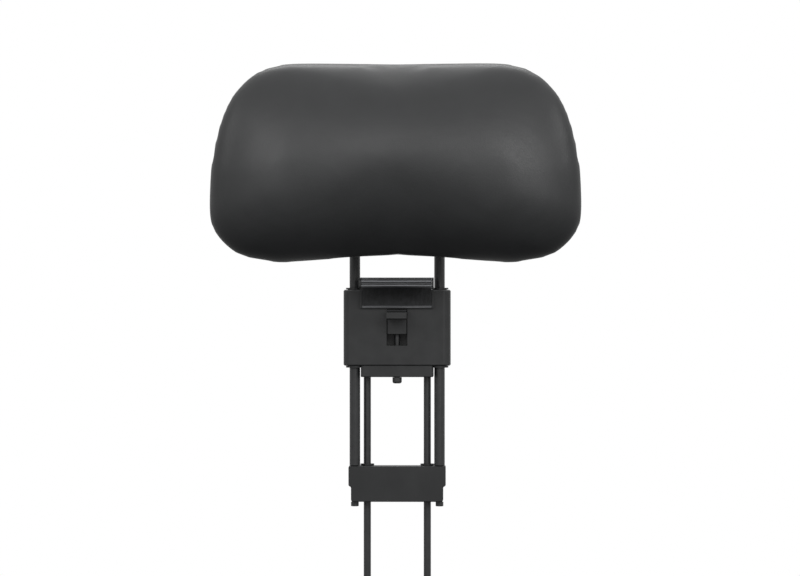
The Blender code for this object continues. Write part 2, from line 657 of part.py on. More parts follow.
# ---------------------------------------------------------------- posts, cross block and top bridge
def posts(look, slide):
    edge = 0.5 * MM
    tapped = POST_SCREW_DIAMETER / 2 + GAP
    for name, side in SIDES:
        rings = [
            (tapped, POST_BOTTOM + 12 * MM),
            (tapped, POST_BOTTOM),
            (POST_RADIUS - edge, POST_BOTTOM),
            (POST_RADIUS, POST_BOTTOM + edge),
            (POST_RADIUS, POST_TOP - edge),
            (POST_RADIUS - edge, POST_TOP),
        ]
        at = (side * POST_X, POST_Y, 0)
        piece(f"post_{name}", stack("Z", side * POST_X, POST_Y, rings), look["steel"], at, slide)
        fixing = screw(
            "Z",
            side * POST_X,
            POST_Y,
            BLOCK_BOTTOM - GAP,
            POST_BOTTOM + 10 * MM,
            POST_SCREW_DIAMETER,
            POST_SCREW_HEAD_DIAMETER,
            POST_SCREW_HEAD_HEIGHT,
        )
        piece(f"post_screw_{name}", fixing, look["steel"], at, slide)


def cross_block(look, slide):
    """The block that ties the posts' lower ends together and runs on the stay rods."""
    outline = [
        (-BLOCK_X, BLOCK_STEP),
        (-BLOCK_LOWER_X, BLOCK_STEP - 1.2 * MM),
        *arc(-BLOCK_LOWER_X + 2 * MM, BLOCK_BOTTOM + 2 * MM, 2 * MM, 180, 270, 3),
        *arc(BLOCK_LOWER_X - 2 * MM, BLOCK_BOTTOM + 2 * MM, 2 * MM, 270, 360, 3),
        (BLOCK_LOWER_X, BLOCK_STEP - 1.2 * MM),
        (BLOCK_X, BLOCK_STEP),
        *arc(BLOCK_X - MM, BLOCK_TOP - MM, MM, 0, 90, 2),
        *arc(-BLOCK_X + MM, BLOCK_TOP - MM, MM, 90, 180, 2),
    ]
    at = (0, STAY_Y, BLOCK_TOP)
    body = chamfered(prism("Y", outline, BLOCK_FRONT, BLOCK_BACK))
    block = piece("cross_block", body, look["nylon"], at, slide)
    inset = 4 * MM
    half = BLOCK_LOWER_X - inset
    face = rounded(-half, half, BLOCK_BOTTOM + inset, BLOCK_TOP - inset, 3 * MM)
    cover_front = BLOCK_BACK + GAP
    cover_back = cover_front + COVER_THICKNESS
    slab = chamfered(prism("Y", face, cover_front, cover_back))
    cover = piece("cross_block_cover", slab, look["shell"], at, slide)
    middle = (BLOCK_TOP + BLOCK_BOTTOM) / 2
    for name, side in SIDES:
        post_hole = POST_SCREW_DIAMETER / 2 + GAP
        cut(block, rod("Z", side * POST_X, POST_Y, post_hole, BLOCK_BOTTOM - MM, BLOCK_TOP + MM, 16))
        cut(block, rod("Z", side * STAY_X, STAY_Y, GLIDE_OUTER + GAP, BLOCK_BOTTOM - MM, BLOCK_TOP + MM))
        x = side * STAY_X / 3
        hole = SMALL_SCREW_DIAMETER / 2 + GAP
        cut(block, rod("Y", x, middle, hole, POST_Y, BLOCK_BACK + MM, 12))
        cut(cover, rod("Y", x, middle, hole, cover_front - MM, cover_back + MM, 12))
        fixing = screw(
            "Y",
            x,
            middle,
            cover_back + GAP,
            POST_Y + MM,
            SMALL_SCREW_DIAMETER,
            SMALL_SCREW_HEAD_DIAMETER,
            SMALL_SCREW_HEAD_HEIGHT,
        )
        piece(f"block_cover_screw_{name}", fixing, look["zinc"], at, slide)
        flange = GLIDE_OUTER + FLANGE_WIDTH
        seat = BLOCK_TOP + GAP
        face_up = seat + FLANGE_THICKNESS
        profile = [
            (STAY_SOCKET, face_up),
            (flange, face_up),
            (flange, seat),
            (GLIDE_OUTER, seat),
            (GLIDE_OUTER, BLOCK_BOTTOM),
            (STAY_SOCKET, BLOCK_BOTTOM),
        ]
        glide = sleeve("Z", side * STAY_X, STAY_Y, profile, 20)
        piece(f"stay_glide_{name}", glide, look["acetal"], at, slide)


def ear_outline(y, z, radius, root_y, root_half):
    """A hinge ear seen from the side: a round end about (y, z), and a straight root at root_y."""
    back = math.copysign(1, root_y - y)
    if back > 0:
        return arc(y, z, radius, 90, 270, 10) + [(root_y, z - root_half), (root_y, z + root_half)]
    return arc(y, z, radius, -90, 90, 10) + [(root_y, z + root_half), (root_y, z - root_half)]


def top_bridge(look, slide):
    """The casting on top of the posts, with two ears that hold the swing pin."""
    outline = rounded(-BRIDGE_X, BRIDGE_X, BRIDGE_FRONT, BRIDGE_BACK, 6 * MM, 5)
    at = (0, SWING_Y, SWING_Z)
    body = chamfered(prism("Z", outline, BRIDGE_BOTTOM, BRIDGE_TOP), 1 * MM)
    bridge = piece("top_bridge", body, look["casting"], at, slide)
    ear = ear_outline(SWING_Y, SWING_Z, KNUCKLE_RADIUS, BRIDGE_FRONT + 3 * MM, KNUCKLE_RADIUS)
    for name, side in SIDES:
        low, high = sorted((side * EAR_INNER_X, side * EAR_OUTER_X))
        add(bridge, chamfered(prism("X", ear, low, high)))
    for name, side in SIDES:
        low, high = sorted((side * (EAR_INNER_X - MM), side * (EAR_OUTER_X + MM)))
        cut(bridge, rod("X", SWING_Y, SWING_Z, PIN_HOLE, low, high))
        cut(bridge, rod("Z", side * POST_X, POST_Y, POST_RADIUS + GAP, BRIDGE_BOTTOM - MM, POST_TOP + GAP))
        grub = SCREW_DIAMETER / 2 + GAP
        cut(bridge, rod("Y", side * POST_X, SWING_Z, grub, POST_Y, BRIDGE_BACK + MM, 12))
        rings = [
            (SCREW_DIAMETER / 2, POST_Y + POST_RADIUS + 2 * GAP),
            (SCREW_DIAMETER / 2, BRIDGE_BACK - GAP),
            (SCREW_DIAMETER / 4, BRIDGE_BACK - GAP, True),
            (SCREW_DIAMETER / 4, BRIDGE_BACK - 1.6 * MM, True),
        ]
        fixing = stack("Y", side * POST_X, SWING_Z, rings, 12)
        piece(f"bridge_screw_{name}", fixing, look["zinc"], (side * POST_X, BRIDGE_BACK, SWING_Z), slide)


# ---------------------------------------------------------------- arm with its two pivots
def hinge_pin(name, y, z, look, on):
    """A pin across the ears, with a head at each end."""
    head = EAR_OUTER_X + GAP
    tip = head + PIN_HEAD_THICKNESS
    edge = 0.6 * MM
    head_radius = PIN_HEAD_DIAMETER / 2
    rings = [
        (head_radius - edge, -tip),
        (head_radius, -tip + edge),
        (head_radius, -head),
        (PIN_RADIUS, -head),
        (PIN_RADIUS, head),
        (head_radius, head),
        (head_radius, tip - edge),
        (head_radius - edge, tip),
    ]
    piece(name, stack("X", y, z, rings, 20), look["steel"], (0, y, z), on)


def washers(name, y, z, look, on):
    for end, side in SIDES:
        low, high = sorted((side * (ARM_X + GAP), side * (ARM_X + GAP + WASHER_THICKNESS)))
        radius = KNUCKLE_RADIUS - 0.8 * MM
        profile = [(PIN_HOLE, low), (radius, low), (radius, high), (PIN_HOLE, high)]
        piece(f"{name}_washer_{end}", sleeve("X", y, z, profile, 20), look["acetal"], (0, y, z), on)


def swing_arm(look, swing):
    """A link with a barrel at each pivot and a narrower waist."""
    lean = math.degrees(math.atan2(TILT_RISE, -TILT_FORWARD))
    side_on = arc(SWING_Y, SWING_Z, KNUCKLE_RADIUS, lean + 90, lean + 270, 12)
    side_on += arc(TILT_Y, TILT_Z, KNUCKLE_RADIUS, lean - 90, lean + 90, 12)
    body = chamfered(prism("X", side_on, -ARM_X, ARM_X))
    arm = piece("swing_arm", body, look["casting"], (0, SWING_Y, SWING_Z), swing)
    for y, z in ((SWING_Y, SWING_Z), (TILT_Y, TILT_Z)):
        cut(arm, rod("X", y, z, PIN_HOLE, -ARM_X - MM, ARM_X + MM))
    middle_z = (SWING_Z + TILT_Z) / 2
    waist_radius = TILT_RISE / 2 - KNUCKLE_RADIUS + 1.5 * MM
    front, back = TILT_Y - 4 * KNUCKLE_RADIUS, SWING_Y + 4 * KNUCKLE_RADIUS
    for _, side in SIDES:
        cut(arm, rod("Y", side * (ARM_X + 3 * MM), middle_z, waist_radius, front, back))


def tilt_bracket(look, tilt):
    """A plate screwed to the pad, with two ears that turn on the tilt pin."""
    half_x = BRACKET_WIDTH / 2
    half_z = BRACKET_HEIGHT / 2
    at = (0, TILT_Y, TILT_Z)
    face = rounded(-half_x, half_x, TILT_Z - half_z, TILT_Z + half_z, 5 * MM)
    plate = chamfered(prism("Y", face, PLATE_FRONT, PLATE_BACK))
    bracket = piece("tilt_bracket", plate, look["casting"], at, tilt)
    ear = ear_outline(TILT_Y, TILT_Z, KNUCKLE_RADIUS, PLATE_FRONT + MM, KNUCKLE_RADIUS + 3 * MM)
    for _, side in SIDES:
        low, high = sorted((side * EAR_INNER_X, side * EAR_OUTER_X))
        add(bracket, chamfered(prism("X", ear, low, high)))
    for _, side in SIDES:
        low, high = sorted((side * (EAR_INNER_X - MM), side * (EAR_OUTER_X + MM)))
        cut(bracket, rod("X", TILT_Y, TILT_Z, PIN_HOLE, low, high))
    for name, x, z in bracket_screws():
        cut(bracket, rod("Y", x, z, SCREW_DIAMETER / 2 + GAP, PLATE_FRONT - MM, PLATE_BACK + MM, 12))
        tip = COVER_REAR - BOARD_THICKNESS + 1.5 * MM
        seat = PLATE_BACK + GAP
        fixing = screw("Y", x, z, seat, tip, SCREW_DIAMETER, SCREW_HEAD_DIAMETER, SCREW_HEAD_HEIGHT)
        piece(f"bracket_screw_{name}", fixing, look["zinc"], at, tilt)


def bracket_screws():
    """Name, x and z of the four screws that hold the bracket to the pad."""
    return [
        (f"{level}_{name}", side * BRACKET_SCREW_X, TILT_Z + up * BRACKET_SCREW_Z)
        for level, up in (("upper", 1), ("lower", -1))
        for name, side in SIDES
    ]


# ---------------------------------------------------------------- pad
# The outline's five nodes on the right-hand side, as shares of the half width and the half height, each
# with the lengths of its two handles. A node's handles lie level, except at the widest point, where they
# stand upright.
TOP_LOBE = 0.453
BOTTOM_LOBE = 0.644
WIDEST = -0.503
TOP_HANDLES = (0.125, 0.38)
SHOULDER_HANDLES = (0.235, 1.49)
HIP_HANDLES = (0.07, 0.32)
BOTTOM_HANDLES = (0.26, 0.40)
OUTLINE_STEPS = (3, 9, 4, 4)


def bezier(a, b, c, d, steps):
    for i in range(steps):
        t = i / steps
        u = 1 - t
        yield a * u**3 + b * 3 * u * u * t + c * 3 * u * t * t + d * t**3


def pad_outline():
    """Points of the pad's widest line about its middle, clockwise from the top, in the X-Z plane."""
    w = PAD_WIDTH / 2
    h = PAD_HEIGHT / 2
    top_mid = Vector((0, h - PAD_TOP_DIP))
    top = Vector((TOP_LOBE * w, h))
    side = Vector((w, WIDEST * h))
    bottom = Vector((BOTTOM_LOBE * w, -h))
    bottom_mid = Vector((0, -h + PAD_BOTTOM_RISE))
    level = Vector((w, 0))
    upright = Vector((0, h))
    spans = (
        (top_mid, top_mid + level * TOP_HANDLES[0], top - level * TOP_HANDLES[1], top),
        (top, top + level * SHOULDER_HANDLES[0], side + upright * SHOULDER_HANDLES[1], side),
        (side, side - upright * HIP_HANDLES[0], bottom + level * HIP_HANDLES[1], bottom),
        (bottom, bottom - level * BOTTOM_HANDLES[0], bottom_mid + level * BOTTOM_HANDLES[1], bottom_mid),
    )
    right = [p for span, steps in zip(spans, OUTLINE_STEPS) for p in bezier(*span, steps)]
    left = [Vector((-p.x, p.y)) for p in reversed(right[1:])]
    return right + [bottom_mid] + left


def inset_outline(points, inset):
    """The outline moved inwards by the same distance everywhere."""
    moved = []
    for i, p in enumerate(points):
        along = points[(i + 1) % len(points)] - points[i - 1]
        inward = Vector((-along.y, along.x)).normalized()
        if inward.dot(p) > 0:
            inward.negate()
        moved.append(p + inward * inset)
    return moved


def cradle(x):
    """How far the pad's plane has come forward at x: none in the middle, most at the ends."""
    flat = CRADLE_FLAT / 2
    reach = max(0.0, abs(x) - flat) / (PAD_WIDTH / 2 - flat)
    return CRADLE * reach**2


def front_depth(x, z):
    """How far the front can stand out at a place: a crown, two lobes, a belly, and a fuller lower half."""
    w = PAD_WIDTH / 2
    h = PAD_HEIGHT / 2
    lobe = math.exp(-(((abs(x) / w - 0.56) / 0.33) ** 2) - ((z / h + 0.06) / 0.9) ** 2)
    belly = BELLY * (1 - (z / h) ** 2)
    return (PAD_CROWN + LOBE_CROWN * lobe) * (1 - LOWER_FULLNESS * z / h) + belly


FRONT_RINGS = (1.0, 0.975, 0.90, 0.78, 0.60, 0.35)
REAR_RINGS = ((0.985, 0.42), (0.945, 0.76), (0.895, 0.95), (0.84, 1.0))
FLANGE_SHARE = 0.80  # the cover's edge at the back, as a share of the outline


def pad_point(p, share, forward):
    """A point of the pad: an outline point drawn in by a share, and a distance ahead of the widest line."""
    x = p.x * share
    return Vector((x, PAD_EQUATOR - cradle(x) - forward, PAD_CENTRE_RISE + p.y * share))


def front_ring(points, share, inset):
    swell = math.sqrt(1 - share**3)
    depths = [swell * (front_depth(p.x * share, p.y * share) - inset) for p in points]
    return [pad_point(p, share, max(0.0, depth)) for p, depth in zip(points, depths)]


def flat_ring(points, share, forward):
    return [pad_point(p, share, forward) for p in points]


def loft(rings):
    """Rings joined in order, with both ends filled."""
    bm = bmesh.new()
    loops = [[bm.verts.new(p) for p in points] for points in rings]
    for low, high in zip(loops, loops[1:]):
        for i in range(len(low)):
            j = (i + 1) % len(low)
            bm.faces.new((low[i], low[j], high[j], high[i]))
    bmesh.ops.poke(bm, faces=[bm.faces.new(loops[0]), bm.faces.new(loops[-1])])
    bmesh.ops.recalc_face_normals(bm, faces=bm.faces)
    return bm


def pad_form(points, inset):
    """Rings over the front of the pad and round to its back, all drawn in by the same distance."""
    front = [front_ring(points, share, inset) for share in reversed(FRONT_RINGS)]
    rear = [flat_ring(points, share, -(PAD_BACK_DEPTH - inset) * depth) for share, depth in REAR_RINGS]
    return front + rear


def pad(look, tilt):
    outline = pad_outline()
    at = (0, TILT_Y, TILT_Z)
    inner = inset_outline(outline, COVER_SKIN)
    core = inset_outline(outline, COVER_SKIN + FOAM_GAP)

    outer_rings = pad_form(outline, 0) + [flat_ring(outline, FLANGE_SHARE, -PAD_BACK_DEPTH)]
    inner_rings = pad_form(inner, COVER_SKIN)
    inner_rings.append(flat_ring(outline, FLANGE_SHARE, COVER_SKIN - PAD_BACK_DEPTH))
    piece("pad_cover", loft(outer_rings + inner_rings[::-1]), look["leather"], at, tilt)

    pocket = FLANGE_SHARE - 2 * GAP / PAD_HEIGHT
    floor = -(PAD_BACK_DEPTH - BOARD_THICKNESS - GAP)
    rim = -(PAD_BACK_DEPTH - COVER_SKIN - GAP)
    core_rings = pad_form(core, COVER_SKIN + FOAM_GAP)
    core_rings += [flat_ring(outline, pocket, rim), flat_ring(outline, pocket, floor)]
    piece("pad_foam", loft(core_rings), look["foam"], at, tilt)

    edge = pocket - 4 * GAP / PAD_HEIGHT
    board_rings = [flat_ring(outline, edge, -PAD_BACK_DEPTH), flat_ring(outline, edge, floor - GAP)]
    board = piece("pad_board", loft(board_rings), look["board"], at, tilt)

    shell_front = -(PAD_BACK_DEPTH + GAP)
    shell_back = -(PAD_BACK_DEPTH + GAP + SHELL_DEPTH)
    shell_inside = shell_back + SHELL_WALL
    boss_x = (BRACKET_WIDTH / 2 + 4 * MM) / (PAD_WIDTH / 2)
    shell_rings = [
        flat_ring(outline, boss_x, shell_front),
        flat_ring(outline, boss_x + 0.02, shell_inside),
        flat_ring(outline, 0.80, shell_inside),
        flat_ring(outline, 0.83, shell_front),
        flat_ring(outline, 0.86, shell_front),
        flat_ring(outline, 0.865, shell_front - SHELL_DEPTH * 0.35),
        flat_ring(outline, 0.85, shell_front - SHELL_DEPTH * 0.7),
        flat_ring(outline, 0.82, shell_front - SHELL_DEPTH * 0.93),
        flat_ring(outline, 0.78, shell_back),
        flat_ring(outline, 0.40, shell_back),
    ]
    shell = piece("pad_back_shell", loft(shell_rings), look["shell"], at, tilt)
    hole = SCREW_DIAMETER / 2 + GAP
    for _, x, z in bracket_screws():
        cut(shell, rod("Y", x, z, hole, COVER_REAR - MM, SHELL_BACK + MM, 12))
        cut(board, rod("Y", x, z, hole, COVER_REAR - BOARD_THICKNESS + MM, COVER_REAR + MM, 12))


# ---------------------------------------------------------------- the whole headrest
def build():
    for obj in list(bpy.data.objects):
        bpy.data.objects.remove(obj)
    look = finishes()

    hook(look)
    guide_housing(look)
    for name, side in SIDES:
        post_bush(f"post_bush_upper_{name}", side, HOUSING_TOP, -1, look)
        post_bush(f"post_bush_lower_{name}", side, HOUSING_BOTTOM, 1, look)
    brakes(look)
    housing_cover(look)
    stays(look)
    spine_clamp(look)

    jaw(look, joint("jaw_slide", BOLT_Y, JAW_TOP), joint("clamp_bolt_turn", BOLT_Y, TONGUE_BOTTOM))

    slide = joint("height_slide", POST_Y, 0)
    posts(look, slide)
    cross_block(look, slide)
    top_bridge(look, slide)
    hinge_pin("swing_pin", SWING_Y, SWING_Z, look, slide)

    swing = joint("arm_swing", SWING_Y, SWING_Z)
    swing_arm(look, swing)
    washers("swing", SWING_Y, SWING_Z, look, swing)
    hinge_pin("tilt_pin", TILT_Y, TILT_Z, look, swing)

    tilt = joint("pad_tilt", TILT_Y, TILT_Z)
    tilt_bracket(look, tilt)
    washers("tilt", TILT_Y, TILT_Z, look, tilt)
    pad(look, tilt)


build()
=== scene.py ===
"""A chair headrest attachment dressed for the camera: a black leather pad with a sewn edge, satin black
rods, an anodised hook and bright screws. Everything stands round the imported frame, in metres, with the pad
facing -Y."""

import json
import math

import bmesh
import bpy
from mathutils import Matrix, Vector
from mathutils.bvhtree import BVHTree


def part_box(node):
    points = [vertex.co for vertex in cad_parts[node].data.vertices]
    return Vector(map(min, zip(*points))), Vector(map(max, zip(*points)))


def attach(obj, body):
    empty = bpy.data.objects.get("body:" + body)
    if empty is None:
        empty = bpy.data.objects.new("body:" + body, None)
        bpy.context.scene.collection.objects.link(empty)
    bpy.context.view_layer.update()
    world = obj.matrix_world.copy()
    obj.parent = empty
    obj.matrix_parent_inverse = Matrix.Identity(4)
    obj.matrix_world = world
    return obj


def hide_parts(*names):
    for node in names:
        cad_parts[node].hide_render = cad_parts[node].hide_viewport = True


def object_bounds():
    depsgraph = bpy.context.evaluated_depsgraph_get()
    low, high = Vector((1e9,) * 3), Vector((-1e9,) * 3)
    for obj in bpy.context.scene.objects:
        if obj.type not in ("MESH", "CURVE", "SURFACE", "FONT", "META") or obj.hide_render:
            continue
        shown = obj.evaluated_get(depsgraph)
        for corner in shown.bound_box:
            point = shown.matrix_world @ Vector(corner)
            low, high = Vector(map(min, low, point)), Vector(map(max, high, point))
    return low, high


MM = 0.001
RAMP_STOPS = (0.35, 0.68)  # where a two-tone ramp leaves its dark tone and reaches its light one
BAND_PERIOD = {"X": math.tau / 20, "DIAGONAL": math.tau / 10 / math.sqrt(3)}  # of a wave texture at scale 1

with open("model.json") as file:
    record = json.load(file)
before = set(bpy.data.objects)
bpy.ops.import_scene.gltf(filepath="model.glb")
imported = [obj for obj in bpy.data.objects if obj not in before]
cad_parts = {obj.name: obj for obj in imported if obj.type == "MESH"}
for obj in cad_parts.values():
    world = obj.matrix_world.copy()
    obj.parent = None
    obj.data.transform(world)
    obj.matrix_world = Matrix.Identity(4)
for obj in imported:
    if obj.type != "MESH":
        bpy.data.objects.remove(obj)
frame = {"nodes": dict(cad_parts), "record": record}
cad_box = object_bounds()
nodes = frame["nodes"]
cover_low, cover_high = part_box("pad_cover")


# ---------------------------------------------------------------- helpers
def srgb(code):
    """A hex colour such as "1c1d1f", as the linear colour the shaders want."""
    channels = [int(code[i : i + 2], 16) / 255 for i in (0, 2, 4)]
    linear = [c / 12.92 if c <= 0.04045 else ((c + 0.055) / 1.055) ** 2.4 for c in channels]
    return (*linear, 1.0)


def add_node(tree, kind, inputs=None, **settings):
    """Adds one shader node. `inputs` maps a socket to a value, or to the output socket that feeds it."""
    node = tree.nodes.new(kind)
    for name, value in settings.items():
        setattr(node, name, value)
    for socket, value in (inputs or {}).items():
        target = node.inputs[socket]
        if isinstance(value, bpy.types.NodeSocket):
            tree.links.new(value, target)
        else:
            target.default_value = value
    return node


def per_metre(size_mm):
    """The texture scale that gives features of this size."""
    return 1000 / size_mm


def place_on(tree, stretch=(1, 1, 1)):
    """Object coordinates. A small number for one axis draws a pattern out along it."""
    where = add_node(tree, "ShaderNodeTexCoord")
    mapping = add_node(tree, "ShaderNodeMapping", {"Vector": where.outputs["Object"], "Scale": stretch})
    return mapping.outputs["Vector"]


def noise(tree, place, size_mm, detail=3.0, roughness=0.5):
    inputs = {"Vector": place, "Scale": per_metre(size_mm), "Detail": detail, "Roughness": roughness}
    return add_node(tree, "ShaderNodeTexNoise", inputs).outputs["Fac"]


def bands(tree, place, direction, spacing_mm, distortion=0.0):
    """Waves in straight bands that lie this far apart."""
    scale = per_metre(spacing_mm) * BAND_PERIOD[direction]
    inputs = {"Vector": place, "Scale": scale, "Distortion": distortion}
    return add_node(tree, "ShaderNodeTexWave", inputs, bands_direction=direction).outputs["Fac"]


def two_tones(tree, pattern, dark, light):
    """A ramp between two close tones of one colour, driven by a pattern."""
    ramp = add_node(tree, "ShaderNodeValToRGB", {"Fac": pattern})
    for stop, place, code in zip(ramp.color_ramp.elements, RAMP_STOPS, (dark, light)):
        stop.position = place
        stop.color = srgb(code)
    return ramp.outputs["Color"]


def between(tree, pattern, low, high):
    """A pattern of 0 to 1 turned into a number between low and high."""
    inputs = {"Value": pattern, "To Min": low, "To Max": high}
    return add_node(tree, "ShaderNodeMapRange", inputs).outputs["Result"]


def raised(tree, pattern, depth_mm, strength, under=None):
    """A bump of a real depth, over another one if that is given."""
    inputs = {"Height": pattern, "Distance": depth_mm * MM, "Strength": strength}
    if under:
        inputs["Normal"] = under
    return add_node(tree, "ShaderNodeBump", inputs).outputs["Normal"]


def start_material(name, colour, roughness, metallic=0.0, **sockets):
    """A material with its Principled shader set. The patterns are linked in afterwards."""
    material = bpy.data.materials.new(name)
    material.use_nodes = True
    shader = material.node_tree.nodes["Principled BSDF"]
    shader.inputs["Base Color"].default_value = srgb(colour)
    shader.inputs["Roughness"].default_value = roughness
    shader.inputs["Metallic"].default_value = metallic
    for socket, value in sockets.items():
        shader.inputs[socket.replace("_", " ")].default_value = value
    return material, material.node_tree, shader


def feed(tree, shader, colour=None, roughness=None, normal=None):
    """Links the patterns that are given to the shader."""
    for name, source in (("Base Color", colour), ("Roughness", roughness), ("Normal", normal)):
        if source:
            tree.links.new(source, shader.inputs[name])


# ---------------------------------------------------------------- materials
def leather():
    """Black polyurethane leather: pressed with a shallow pebble grain, so its gloss is soft and even. The
    grain is drawn 1.6 mm across, a little coarser than life, so that it still shows."""
    material, tree, shader = start_material("pu_leather_black", "222324", 0.36)
    place = place_on(tree)
    pebble = add_node(
        tree,
        "ShaderNodeTexVoronoi",
        {"Vector": place, "Scale": per_metre(1.6), "Randomness": 0.9},
        feature="DISTANCE_TO_EDGE",
    )
    slope = {"Value": pebble.outputs["Distance"], "From Max": 0.18}
    crown = add_node(tree, "ShaderNodeMapRange", slope).outputs["Result"]
    pores = noise(tree, place, 0.6, 2.0)
    height = add_node(tree, "ShaderNodeMix", {"Factor": 0.25, "A": crown, "B": pores}).outputs["Result"]
    wrinkle = noise(tree, place, 22, 2.0, 0.4)
    grain = raised(tree, height, 0.05, 0.35)
    hide = raised(tree, wrinkle, 0.4, 0.25, grain)
    feed(tree, shader, two_tones(tree, wrinkle, "212223", "242526"), between(tree, crown, 0.46, 0.36), hide)
    return material


def polyester_thread():
    """Bonded polyester sewing thread: twisted, so it has slanting ridges about 0.8 mm apart and a sheen. Its
    colour holds painted shade: darker in the grooves of the twist, lighter on its ridges.
    """
    material, tree, shader = start_material("polyester_thread", "2c2d2f", 0.5, Sheen_Weight=0.2)
    twist = bands(tree, place_on(tree), "DIAGONAL", 0.7977, distortion=0.4)
    # painted shade: the twist's grooves get the dark tone and its ridges the light one
    colour = two_tones(tree, twist, "202122", "333436")
    feed(tree, shader, colour, between(tree, twist, 0.6, 0.45), raised(tree, twist, 0.08, 0.6))
    return material


def moulded_plastic(name, dark, light, roughness, grain_mm, depth_mm):
    """Moulded plastic: the spark-eroded texture of its tool, with faint flow clouds under it."""
    material, tree, shader = start_material(name, dark, roughness)
    place = place_on(tree)
    grain = noise(tree, place, grain_mm, 2.0)
    cloud = noise(tree, place, 25, 3.0)
    gloss = between(tree, grain, roughness - 0.08, roughness + 0.10)
    feed(tree, shader, two_tones(tree, cloud, dark, light), gloss, raised(tree, grain, depth_mm, 0.5))
    return material


def powder_coat():
    """Black powder coat baked on a casting: an orange-peel skin about a millimetre and a half across, with
    slightly duller patches where hands have rubbed it."""
    material, tree, shader = start_material("powder_coated_casting", "1c1d1e", 0.42, Coat_Weight=0.12)
    place = place_on(tree)
    peel = noise(tree, place, 1.6)
    rub = noise(tree, place, 14, 5.0)
    feed(
        tree,
        shader,
        two_tones(tree, rub, "191a1b", "222324"),
        between(tree, rub, 0.36, 0.52),
        raised(tree, peel, 0.12, 0.3),
    )
    return material


def satin_steel():
    """Drawn steel rod with a satin black coat: faint draw lines along it and a soft bright streak."""
    sockets = {"Coat_Weight": 0.35, "Coat_Roughness": 0.34}
    material, tree, shader = start_material("satin_black_steel", "1b1c1d", 0.4, **sockets)
    lines = noise(tree, place_on(tree, (1, 1, 0.02)), 0.5, 2.0)
    dust = noise(tree, place_on(tree), 6, 4.0)
    feed(
        tree,
        shader,
        two_tones(tree, dust, "18191a", "222324"),
        between(tree, lines, 0.34, 0.46),
        raised(tree, lines, 0.02, 0.15),
    )
    return material


def anodised_aluminium():
    """Extruded aluminium, brushed along its length and anodised: its sheen comes through the black film."""
    material, tree, shader = start_material("black_anodised_aluminium", "606163", 0.42, 0.8)
    lines = noise(tree, place_on(tree, (0.02, 1, 1)), 0.4)
    feed(
        tree,
        shader,
        two_tones(tree, lines, "545557", "6c6d6f"),
        between(tree, lines, 0.38, 0.50),
        raised(tree, lines, 0.02, 0.2),
    )
    return material


def zinc_plate():
    """Zinc-plated steel: a cool, slightly cloudy bright metal."""
    material, tree, shader = start_material("zinc_plated_steel", "b9bbbd", 0.3, 1.0)
    cloud = noise(tree, place_on(tree), 2.5, 4.0)
    feed(tree, shader, two_tones(tree, cloud, "a4a6a9", "c6c8c9"), between(tree, cloud, 0.22, 0.42))
    return material


def grip_rubber():
    """Black rubber with grip ribs across it, about four millimetres apart."""
    material, tree, shader = start_material("nitrile_rubber", "17181a", 0.75)
    place = place_on(tree)
    ribs = bands(tree, place, "X", 3.948)
    dust = noise(tree, place, 5, 4.0)
    feed(tree, shader, two_tones(tree, dust, "151617", "222325"), normal=raised(tree, ribs, 0.3, 0.5))
    return material


def birch_ply():
    """Birch plywood: pale, with long soft grain."""
    material, tree, shader = start_material("birch_plywood", "cba876", 0.65)
    grain = noise(tree, place_on(tree, (0.08, 1, 1)), 3, 6.0)
    feed(tree, shader, two_tones(tree, grain, "b48f5c", "d8bd90"), between(tree, grain, 0.55, 0.75))
    return material


def open_cell_foam():
    """Open-cell foam: cream, with pores about a millimetre across. The pits of the pores carry painted
    shade, darker than the foam round them.
    """
    material, tree, shader = start_material("open_cell_foam", "cfc8b4", 0.95)
    inputs = {"Vector": place_on(tree), "Scale": per_metre(1.2)}
    pores = add_node(tree, "ShaderNodeTexVoronoi", inputs).outputs["Distance"]
    # painted shade: the low pits of the pores get the darker tone
    feed(tree, shader, two_tones(tree, pores, "a79f8a", "d6cfbc"), normal=raised(tree, pores, 0.4, 0.6))
    return material


FINISHES = {
    "soft_leather": leather(),
    "pad_foam": open_cell_foam(),
    "pad_board": birch_ply(),
    "moulded_shell": moulded_plastic("textured_polypropylene", "1c1d1e", "242526", 0.5, 0.7, 0.12),
    "black_plastic": moulded_plastic("glass_filled_nylon", "191a1b", "202122", 0.46, 0.5, 0.06),
    "black_acetal": moulded_plastic("black_acetal", "161718", "1d1e1f", 0.36, 1.5, 0.03),
    "cast_aluminium": powder_coat(),
    "hook_aluminium": anodised_aluminium(),
    "coated_steel": satin_steel(),
    "zinc_steel": zinc_plate(),
    "grip_rubber": grip_rubber(),
}
THREAD = polyester_thread()


def dress_frame():
    """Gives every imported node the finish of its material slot."""
    for entry in frame["record"]["subparts"]:
        obj = nodes[entry["node"]]
        obj.data.materials.clear()
        obj.data.materials.append(FINISHES[entry["material_slot"]])


# ---------------------------------------------------------------- pieces
def new_piece(name, bm, material, crease_angle=180):
    """Makes an object of a bmesh. Edges sharper than the crease angle are shaded as edges."""
    mesh = bpy.data.meshes.new(name)
    bm.to_mesh(mesh)
    bm.free()
    mesh.shade_smooth()
    mesh.set_sharp_from_angle(angle=math.radians(crease_angle))
    mesh.materials.append(material)
    obj = bpy.data.objects.new(name, mesh)
    bpy.context.collection.objects.link(obj)
    return obj


def add_modifier(obj, kind, **settings):
    modifier = obj.modifiers.new(kind.lower(), kind)
    for key, value in settings.items():
        setattr(modifier, key, value)


def apply_modifiers(obj):
    """Bakes the object's modifiers into its mesh."""
    graph = bpy.context.evaluated_depsgraph_get()
    mesh = bpy.data.meshes.new_from_object(obj.evaluated_get(graph))
    obj.modifiers.clear()
    obj.data = mesh
    mesh.shade_smooth()


